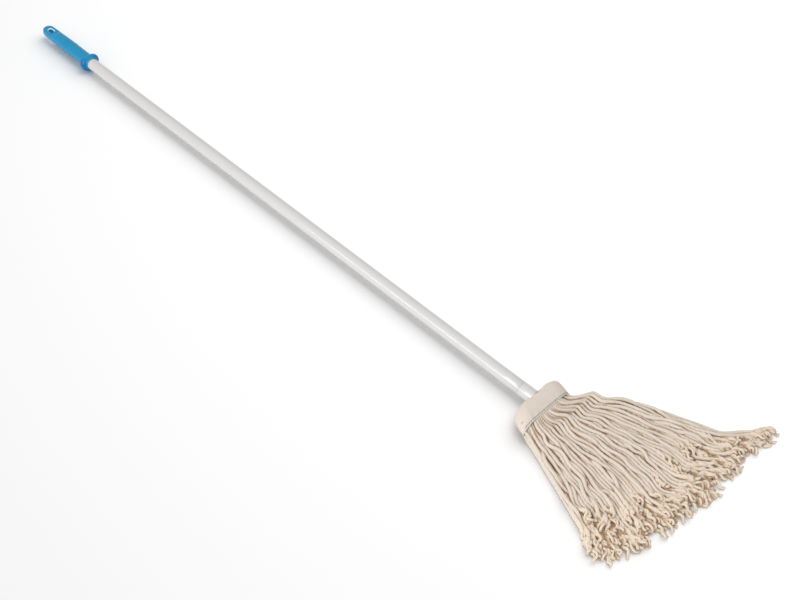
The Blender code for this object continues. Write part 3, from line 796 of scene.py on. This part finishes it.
def yarn(mat):
    """Every strand, grouped into the same tufts as the CAD."""
    rng = np.random.default_rng(61)
    places = hem_places()
    aim, share, t = aimed_paths(places)
    free = settled(aim, 170)
    whole = np.concatenate([inner_paths(places), free], axis=1)
    count = int(0.30 / RING_STEP)
    curves = clamp_inside(resampled(whole, count), STRAND_RADIUS * 1.06)
    length = np.sum(np.linalg.norm(np.diff(curves, axis=1), axis=2), axis=1)
    names = piece_of_strand(share, t)
    tone = np.clip(0.5 + rng.normal(0, 0.26, STRANDS), 0, 1)
    pitch = PLY_PITCH * rng.uniform(0.9, 1.2, STRANDS)

    plies, ply_radii, ply_owner = frayed_plies(curves, length, np.arange(STRANDS))
    plies = clamp_inside(plies, 0.0026)
    fibres, fibre_radii, fibre_owner = fine_fibres(plies, ply_owner)
    fibres = clamp_inside(fibres, 0.0006)
    thick = np.concatenate([np.full(STRANDS * count, STRAND_RADIUS), ply_radii.ravel()])
    pile = PileTop(np.concatenate([curves.reshape(-1, 3), plies.reshape(-1, 3)]), thick)
    pieces = {}
    for name in sorted(set(names)):
        ids = np.where(names == name)[0]
        parts, shades, tones, frays = [], [], [], []
        for k in ids:
            body = 1 - FRAY_LENGTH / length[k]
            n = int(count * body)
            path = curves[k : k + 1, :n]
            run = path[0, :, 0] - BAND_HEM
            radius = HEM_RADIUS + (STRAND_RADIUS - HEM_RADIUS) * smooth(run / STRAND_FILLS)
            radius = radius * (1 + 0.05 * np.sin(np.linspace(0, 40, n) + k))
            spin = np.linspace(0, length[k] * body, n) / pitch[k] * math.tau
            part = tubes(path, radius[None], spin[None], ply_profile())
            parts.append(part)
            shades.append(pile.painted_gap_shade(part[0], SIDES))
            tones.append(np.full(n * SIDES, tone[k]))
            frays.append(np.repeat(0.8 * smooth(np.linspace(0, length[k] * body, n) / FRAY_LENGTH + 2 - length[k] / FRAY_LENGTH), SIDES))
        # plies and fibres carry a fixed extra of painted shade besides the gap shade
        for paths, radii, owner, sides, painted_shade in (
            (plies, ply_radii, ply_owner, 8, 0.06),
            (fibres, fibre_radii, fibre_owner, 5, 0.20),
        ):
            mine = np.isin(owner, ids)
            part = tubes(paths[mine], radii[mine], np.zeros(paths[mine].shape[:2]), np.ones(sides))
            parts.append(part)
            shades.append(np.clip(0.85 * pile.painted_gap_shade(part[0], sides) + painted_shade, 0, 1))
            tones.append(np.repeat(tone[owner[mine]], paths.shape[1] * sides))
            frays.append(np.full(len(part[0]), 0.8))
        verts, quads, caps, uv = merged(parts)
        mesh = mesh_from(f"{name}_strands", verts, quads, caps, uv)
        point_values(mesh, "shade", np.concatenate(shades))
        point_values(mesh, "tone", np.concatenate(tones))
        point_values(mesh, "fray", np.concatenate(frays))
        obj = put(f"{name}_strands", mesh, mat)
        body = "_".join(name.split("_")[:2])
        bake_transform(obj)
        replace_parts(obj, name, "yarn_core_near" if int(body[-1]) <= SECTIONS // 2 else "yarn_core_far")
        pieces[name] = obj
    return pieces


# The canvas band, its seams and its stitches


def canvas_grid():
    """Shares across and up the band's plan, and the X and Y of each point of it."""
    p = np.sin(np.linspace(-math.pi / 2, math.pi / 2, 193))
    q = np.sin(np.linspace(math.pi / 2, 0, 27))
    top_p, top_q = np.meshgrid(p, q)
    big = np.maximum(np.abs(top_p), top_q)
    scale = big / np.maximum(1e-9, (np.abs(top_p) ** BAND_POWER + top_q**BAND_POWER) ** (1 / BAND_POWER))
    across, rise = top_p * scale, top_q * scale
    x = BAND_SHOULDER - rise * (BAND_SHOULDER - BAND_TOP)
    low_x = np.linspace(BAND_SHOULDER, BAND_HEM, 37)[1:]
    across = np.concatenate([across, np.broadcast_to(p, (len(low_x), len(p)))])
    rise = np.concatenate([rise, np.zeros((len(low_x), len(p)))])
    x = np.concatenate([x, np.repeat(low_x[:, None], len(p), axis=1)])
    y = band_centre(x) + band_half(x) * across
    over_neck = 1 - smooth((np.abs(y - 0.001) - 0.004) / 0.016)
    x = x + NECK_SCOOP * over_neck * smooth(rise) ** 2
    return across, rise, x, y


def canvas_heights(across, rise, x, y, side):
    """The cloth's height on one side: the stuffed shape, a collar round the neck, wrinkles and the stitched pinch."""
    rng = np.random.default_rng(71 if side > 0 else 73)
    height = band_height(x, across, rise)
    soft = np.clip(height / 0.006, 0, 1)
    near_stitch = np.exp(-(((x - BAND_STITCH) / 0.005) ** 2))
    pucker = noise_curve(rng, 170, 14, 1.0)(y + 0.3 * x)
    broad = noise_curve(rng, 38, 6, 1.0)(y - 0.6 * x) + noise_curve(rng, 45, 5, 0.7)(x + 0.25 * y)
    height = height + soft * (0.00034 * broad + 0.00042 * near_stitch * pucker)
    pitch = STITCH_PITCH
    dip = 0.55 + 0.45 * np.cos(math.tau * y / pitch)
    height = height - soft * 0.0009 * np.exp(-(((x - BAND_STITCH) / 0.0013) ** 2)) * dip
    wide = np.where(y > 0, COLLAR_RADIUS + 0.0016, COLLAR_RADIUS)
    collar = np.sqrt(np.maximum(0.0, wide**2 - y**2)) * (1 - smooth((x + 0.008) / 0.008))
    blend = 0.0022
    gap = np.maximum(0, blend - np.abs(height - collar)) / blend
    both = np.maximum(height, collar) + np.where(collar > 0, gap * gap * blend * 0.25, 0) * (rise < 0.999)
    limit = AXIS_HEIGHT + (0.0008 if side > 0 else -0.00005)
    return np.minimum(both, limit)


STITCH_PITCH = 0.0047
STITCH_THICKNESS = 0.00085


def canvas_band(mat):
    """One closed shell of cloth: both faces, open at the neck and at the hem."""
    across, rise, x, y = canvas_grid()
    rows, columns = x.shape
    ripple = noise_curve(np.random.default_rng(79), 60, 6, 0.00035)(y) * smooth((x - 0.012) / 0.0085)
    faces, points = [], []
    for layer, side in enumerate((1, -1)):
        z = AXIS_HEIGHT + side * canvas_heights(across, rise, x, y, side)
        z = np.where(np.abs(z - AXIS_HEIGHT) < 2e-5, AXIS_HEIGHT, z)
        points.append(np.stack([x + ripple, y, z], axis=2).reshape(-1, 3))
        index = np.arange(rows * columns).reshape(rows, columns) + layer * rows * columns
        quad = np.stack([index[:-1, :-1], index[1:, :-1], index[1:, 1:], index[:-1, 1:]], axis=-1).reshape(-1, 4)
        faces.append(quad if side > 0 else quad[:, ::-1])
    quads = np.concatenate(faces)
    verts = np.concatenate(points)
    uv = verts[quads.ravel()][:, :2]
    mesh = mesh_from("canvas_band", verts, quads, (), uv)
    obj = put("canvas_band", mesh, mat)
    weld = obj.modifiers.new("weld", "WELD")
    weld.merge_threshold = 1e-6
    thick = obj.modifiers.new("thick", "SOLIDIFY")
    thick.thickness = CANVAS
    thick.offset = -1
    applied = bpy.data.meshes.new_from_object(obj.evaluated_get(bpy.context.evaluated_depsgraph_get()))
    obj.modifiers.clear()
    obj.data = applied
    applied.shade_smooth()
    spots = np.empty(len(applied.vertices) * 3)
    applied.vertices.foreach_get("co", spots)
    spots = spots.reshape(-1, 3)
    shade = np.zeros(len(spots))
    # a stain dot on the band, and painted shade where the cloth gapes beside the neck
    for x, y, reach, strength in STAIN_AND_NECK_SHADE:
        away = np.hypot(spots[:, 0] - x, spots[:, 1] - y) / reach
        shade += strength * np.exp(-(away**2)) * (spots[:, 2] > AXIS_HEIGHT)
    point_values(applied, "shade", np.minimum(shade, 1))
    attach(obj, "mop_head")
    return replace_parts(obj, "band_front", "band_back")


def rim_path(side):
    """Points along the band's edge, from a lower corner up to the neck opening. side is the sign of Y."""
    low = [(BAND_HEM + (BAND_SHOULDER - BAND_HEM) * i / 14, 1.0) for i in range(14)]
    angles = np.linspace(0, math.pi / 2, 60)
    power = 2 / BAND_POWER
    high = [(BAND_SHOULDER - (BAND_SHOULDER - BAND_TOP) * math.sin(a) ** power, math.cos(a) ** power) for a in angles[:-1]]
    points = [(x, float(band_centre(x) + side * band_half(x) * share), AXIS_HEIGHT) for x, share in low + high]
    return np.array([p for p in points if side * p[1] > COLLAR_RADIUS + 0.0016])


def edge_seam(name, side, mat):
    path = resampled(rim_path(side)[None], 90)
    rng = np.random.default_rng(83 + side)
    out = noise_curve(rng, 14, 5, 0.00012)(np.linspace(0, 1, 90))
    path[0, :, 2] += out
    radius = 0.0007 * (1 + 0.12 * np.sin(np.linspace(0, 160, 90)))
    verts, quads, caps, uv = tubes(path, radius[None], np.zeros((1, 90)), np.ones(10))
    mesh = mesh_from(name, verts, quads, caps, uv)
    point_values(mesh, "shade", np.full(len(verts), 0.08))
    obj = put(name, mesh, mat)
    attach(obj, "mop_head")
    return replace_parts(obj, f"edge_seam_{'near' if side < 0 else 'far'}")


def stitches(name, side, mat):
    """Separate stitches, each a short bar of thread that dives into the cloth at its two ends."""
    half = 0.985 * band_half(BAND_STITCH)
    centre = band_centre(BAND_STITCH)
    start = math.ceil((centre - half) / STITCH_PITCH)
    paths = []
    k = start
    while (k + 1) * STITCH_PITCH < centre + half:
        y = np.linspace((k + 0.02) * STITCH_PITCH, (k + 0.98) * STITCH_PITCH, 13)
        across = (y - centre) / band_half(BAND_STITCH)
        x = np.full(13, BAND_STITCH)
        height = canvas_heights(across, np.zeros(13), x, y, side)
        bow = np.sin(np.linspace(0, math.pi, 13))
        middle = height.mean() + 0.0003
        level = np.maximum(middle, height) * bow + (height - 0.0005) * (1 - bow)
        z = AXIS_HEIGHT + side * (level + STITCH_THICKNESS * 0.6 * bow)
        sway = 0.00012 * math.sin(2.3 * k)
        paths.append(np.stack([x + sway, y, np.maximum(z, STITCH_THICKNESS)], axis=1))
        k += 1
    paths = np.array(paths)
    taper = np.sqrt(np.maximum(0.15, 1 - np.abs(np.linspace(-1, 1, 13)) ** 6))
    radii = STITCH_THICKNESS * np.broadcast_to(taper, paths.shape[:2])
    spin = np.broadcast_to(np.linspace(0, 5, 13), paths.shape[:2])
    profile = 0.90 + 0.10 * np.abs(np.cos(math.tau * np.arange(12) / 12 * 1.5))
    mesh = mesh_from(name, *tubes(paths, radii, spin, profile))
    obj = put(name, mesh, mat)
    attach(obj, "mop_head")
    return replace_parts(obj, f"stitch_{'front' if side > 0 else 'back'}")


# Handle: grip, tube and neck


def turned_mesh(name, outline, sides=96):
    """A closed (x, radius) outline spun about the handle's axis."""
    outline = np.array(outline)
    turn = math.tau * np.arange(sides) / sides
    x = np.broadcast_to(outline[:, 0, None], (len(outline), sides))
    y = outline[:, 1, None] * np.cos(turn)
    z = AXIS_HEIGHT + outline[:, 1, None] * np.sin(turn)
    verts = np.stack([x, y, z], axis=2).reshape(-1, 3)
    index = np.arange(len(verts)).reshape(len(outline), sides)
    nxt, after = np.roll(index, -1, axis=0), np.roll(index, -1, axis=1)
    quads = np.stack([index, nxt, np.roll(nxt, -1, axis=1), after], axis=-1).reshape(-1, 4)
    mesh = mesh_from(name, verts, quads)
    mesh.set_sharp_from_angle(angle=math.radians(50))
    return mesh


def handle_tube(mat):
    start, end = TUBE_LOW.x, TUBE_HIGH.x
    inner = TUBE_RADIUS - 0.0005
    edge = 0.00018
    outline = [(start, inner), (start, TUBE_RADIUS - edge), (start + edge, TUBE_RADIUS)]
    outline += [(start + (end - start) * i / 40, TUBE_RADIUS) for i in range(1, 40)]
    outline += [(end - edge, TUBE_RADIUS), (end, TUBE_RADIUS - edge), (end, inner)]
    obj = put("handle_tube_enamelled", turned_mesh("handle_tube_enamelled", outline), mat)
    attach(obj, "handle")
    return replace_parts(obj, "handle_tube")


def neck(mat):
    start, end = NECK_LOW.x, NECK_HIGH.x
    outer = (NECK_HIGH.z - NECK_LOW.z) / 2
    inner, edge = 0.0072, 0.0005
    outline = [(start, inner)]
    outline += [(start + edge * (1 - math.cos(a)), outer - edge * (1 - math.sin(a))) for a in np.linspace(0, math.pi / 2, 5)]
    outline += [(end - edge * (1 - math.sin(a)), outer - edge * (1 - math.cos(a))) for a in np.linspace(0, math.pi / 2, 5)]
    outline += [(end, inner)]
    obj = put("neck_sleeve_moulded", turned_mesh("neck_sleeve_moulded", outline), mat)
    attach(obj, "neck")
    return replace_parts(obj, "neck_sleeve")


GRIP_LENGTH = 0.159
GRIP_BORE_DEPTH = 0.1083
GRIP_BARREL = ((0.0, 0.0), (0.0005, 0.0032), (0.002, 0.0062), (0.005, 0.0094), (0.009, 0.0113), (0.013, 0.0118), (0.020, 0.01205))
GRIP_BODY = ((0.045, 0.0125), (0.075, 0.0130), (0.105, 0.0128), (0.135, 0.0124), (0.1578, 0.0128), (0.159, 0.0120))
TONGUE_HALF = 0.0065
PANEL_HALF = 0.0122
FLANGE_AT = 0.1485


def grip_radius(along, turn):
    """Radius of the grip at a distance from its tip and an angle about its axis, from the far side upwards."""
    places = [p for p, _ in GRIP_BARREL + GRIP_BODY]
    radii = [r for _, r in GRIP_BARREL + GRIP_BODY]
    radius = np.interp(along, places, radii)
    flat = TONGUE_HALF + (PANEL_HALF - TONGUE_HALF) * smooth((along - 0.035) / 0.015)
    flat = flat + 0.02 * smooth((along - 0.0965) / 0.0045)
    height = np.abs(np.sin(turn)) + 1e-9
    cut = flat / height
    blend = 0.0012
    mix = np.clip(0.5 + 0.5 * (cut - radius) / blend, 0, 1)
    radius = cut * (1 - mix) + radius * mix - blend * mix * (1 - mix) * 0.5
    radius = radius + 0.0009 * np.exp(-(((along - 0.0965) / 0.0009) ** 2)) * smooth(1.5 * np.abs(np.sin(turn)) - 0.3)
    lobe = np.cos(turn) ** 2
    section = 0.0050 + 0.0032 * lobe
    centre = AXIS_HEIGHT + 0.0015 * lobe - 0.0037 * np.maximum(0, np.sin(turn)) ** 2 - section
    off = np.clip(np.abs(along - FLANGE_AT) / section, 0, 1)
    ring = np.where(off < 1, centre + section * np.sqrt(1 - off * off), 0)
    # the second value is a painted shade mask: the flange's finger lobes are drawn darker blue
    return np.maximum(radius, ring), (ring > radius + 0.0003) * smooth(1.6 * lobe - 0.3)


def hand_grip(mat, rim):
    """The moulded grip: its outside, the bore that takes the tube, and the hanging slot cut through its tongue."""
    sides = 120
    turn = math.tau * np.arange(sides) / sides
    fine = np.concatenate([np.linspace(0, 0.02, 34), np.linspace(0.021, 0.136, 160), np.linspace(0.1365, 0.1588, 60)])
    along, angle = np.meshgrid(np.concatenate([[0.00005], fine[1:], [GRIP_LENGTH]]), turn, indexing="ij")
    radius, in_ring = grip_radius(along, angle)
    # painted shade on the flange's lobes
    painted_lobe_shade = in_ring
    bore = TUBE_RADIUS + 0.0003
    floor_x = GRIP_LENGTH - GRIP_BORE_DEPTH
    inner_along = np.array([GRIP_LENGTH, GRIP_LENGTH - 0.001, floor_x + 0.001, floor_x])
    inner_radius = np.array([bore + 0.0004, bore, bore, bore - 0.0006])
    along = np.concatenate([along, np.repeat(inner_along[:, None], sides, axis=1)])
    radius = np.concatenate([radius, np.repeat(inner_radius[:, None], sides, axis=1)])
    painted_lobe_shade = np.concatenate([painted_lobe_shade, np.zeros((4, sides))])
    x = GRIP_LOW.x + along
    y, z = radius * np.cos(turn), AXIS_HEIGHT + radius * np.sin(turn)
    verts = np.stack([x, y, z], axis=2).reshape(-1, 3)
    index = np.arange(len(verts)).reshape(len(x), sides)
    nxt = np.roll(index, -1, axis=1)
    quads = np.stack([index[:-1], index[1:], nxt[1:], nxt[:-1]], axis=-1).reshape(-1, 4)
    mesh = mesh_from("hand_grip_moulded", verts, quads, [index[0], index[-1, ::-1]])
    point_values(mesh, "painted_lobe_shade", painted_lobe_shade)
    obj = put("hand_grip_moulded", mesh, mat)
    # the second material is the painted highlight on the slot's bevel
    mesh.materials.append(rim)
    cutter = slot_cutter(GRIP_LOW.x + 0.0215, mat, rim)
    modifier = obj.modifiers.new("slot", "BOOLEAN")
    modifier.object = cutter
    modifier.solver = "EXACT"
    applied = bpy.data.meshes.new_from_object(obj.evaluated_get(bpy.context.evaluated_depsgraph_get()))
    obj.modifiers.clear()
    obj.data = applied
    bpy.data.objects.remove(cutter)
    applied.shade_smooth()
    applied.set_sharp_from_angle(angle=math.radians(42))
    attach(obj, "handle")
    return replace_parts(obj, "hand_grip")


def slot_cutter(x, blue, highlight_mat):
    """The shape of the hanging slot: a stadium that flares at both faces of the tongue, so that its edges are
    rounded."""
    half_length, half_width = 0.0074, 0.0040
    turn = math.tau * np.arange(48) / 48
    shift = np.where(np.cos(turn) >= 0, 1, -1) * (half_length - half_width)
    levels = []
    edge = 0.0014
    for a in np.linspace(0, math.pi / 2, 6):
        levels.append((TONGUE_HALF - edge * math.sin(a), edge * (1 - math.cos(math.pi / 2 - a))))
    levels = [(TONGUE_HALF + 0.004, edge + 0.004), (TONGUE_HALF, edge)] + levels[1:]
    levels += [(-h, g) for h, g in reversed(levels)]
    rings = []
    for height, grow in levels:
        ring_x = x + shift + (half_width + grow) * np.cos(turn)
        ring_y = (half_width + grow) * np.sin(turn)
        rings.append(np.stack([ring_x, ring_y, np.full(48, AXIS_HEIGHT + height)], axis=1))
    verts = np.concatenate(rings)
    index = np.arange(len(verts)).reshape(len(levels), 48)
    nxt = np.roll(index, -1, axis=1)
    quads = np.stack([index[:-1], index[1:], nxt[1:], nxt[:-1]], axis=-1).reshape(-1, 4)
    obj = put("slot_cutter", mesh_from("slot_cutter", verts, quads, [index[0], index[-1, ::-1]]), blue)
    obj.data.materials.append(highlight_mat)
    # the sloping bevel faces take the painted highlight material, the straight walls stay blue
    for face in obj.data.polygons:
        face.material_index = int(abs(face.normal.z) > 0.12)
    obj.hide_render = True
    return obj


# Studio


def linked_to(name, obj, state):
    """A light-linking collection: the lights that use it reach only obj, or everything but obj."""
    group = bpy.data.collections.new(name)
    group.objects.link(obj)
    group.collection_objects[0].light_linking.link_state = state
    return group


def softbox(name, towards, away, size, energy, receivers):
    """A rectangular light at a distance from the middle of the mop, turned to face it. Its long side lies along X."""
    middle = Vector((-0.4, 0, 0))
    lamp = bpy.data.lights.new(name, "AREA")
    lamp.shape = "RECTANGLE"
    lamp.size, lamp.size_y = size
    lamp.energy = energy
    obj = bpy.data.objects.new(name, lamp)
    obj.location = middle + Vector(towards).normalized() * away
    obj.rotation_euler = (middle - obj.location).to_track_quat("-Z", "Y").to_euler()
    obj.light_linking.receiver_collection = receivers
    bpy.context.scene.collection.objects.link(obj)
    return obj


def studio():
    scene = bpy.context.scene
    scene.view_settings.view_transform = "Standard"
    camera = bpy.data.objects.new("camera", bpy.data.cameras.new("camera"))
    camera.location = (0.637, -0.912, 1.450)
    camera.rotation_euler = Vector((-0.4796, 0.4692, -0.7415)).to_track_quat("-Z", "Y").to_euler()
    camera.data.lens = 55.4
    camera.data.sensor_width = 36
    scene.collection.objects.link(camera)
    scene.camera = camera

    world = bpy.data.worlds.new("studio")
    scene.world = world
    world.use_nodes = True
    background = world.node_tree.nodes["Background"]
    background.inputs["Color"].default_value = (1.0, 1.0, 1.0, 1)
    background.inputs["Strength"].default_value = 0.66

    floor = Nodes("floor", 0.9)
    floor.colour((0.93, 0.93, 0.93))
    floor.shader.inputs["Specular IOR Level"].default_value = 0.0
    size = 12.0
    corners = np.array([(-size, -size, 0), (size, -size, 0), (size, size, 0), (-size, size, 0)], float)
    ground = put("floor", mesh_from("floor", corners, np.array([[0, 1, 2, 3]])), floor.mat)

    only_floor = linked_to("only_floor", ground, "INCLUDE")
    not_floor = linked_to("not_floor", ground, "EXCLUDE")
    softbox("key_on_floor", (0.10, 0.60, 1.0), 2.6, (3.0, 3.0), 52, only_floor)
    softbox("front_softbox", (0.10, -1.0, 1.05), 2.6, (1.7, 1.7), 36, not_floor)
    strip = softbox("gleam_strip", (-0.05, -1.55, 0.75), 3.4, (4.5, 0.36), 42, not_floor)
    strip.visible_diffuse = False


def finish_cad_nodes(finishes):
    """Node materials for the CAD nodes that stay in view."""
    for name, mat in finishes.items():
        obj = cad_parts[name]
        obj.data.materials.clear()
        obj.data.materials.append(mat)


def main():
    studio()
    canvas, thread, plastic = canvas_cloth(), thread_material(), white_plastic()
    strands = yarn(cotton())
    band = canvas_band(canvas)
    trims = [edge_seam("edge_seam_near_sewn", -1, canvas), edge_seam("edge_seam_far_sewn", 1, canvas)]
    trims += [stitches("stitches_front", 1, thread), stitches("stitches_back", -1, thread)]
    hand_grip(blue_plastic(), painted_slot_highlight())
    handle_tube(enamel())
    neck(plastic)
    finish_cad_nodes({"socket_yoke": plastic, "thread_insert": plastic, "insert_rivet": zinc()})


main()
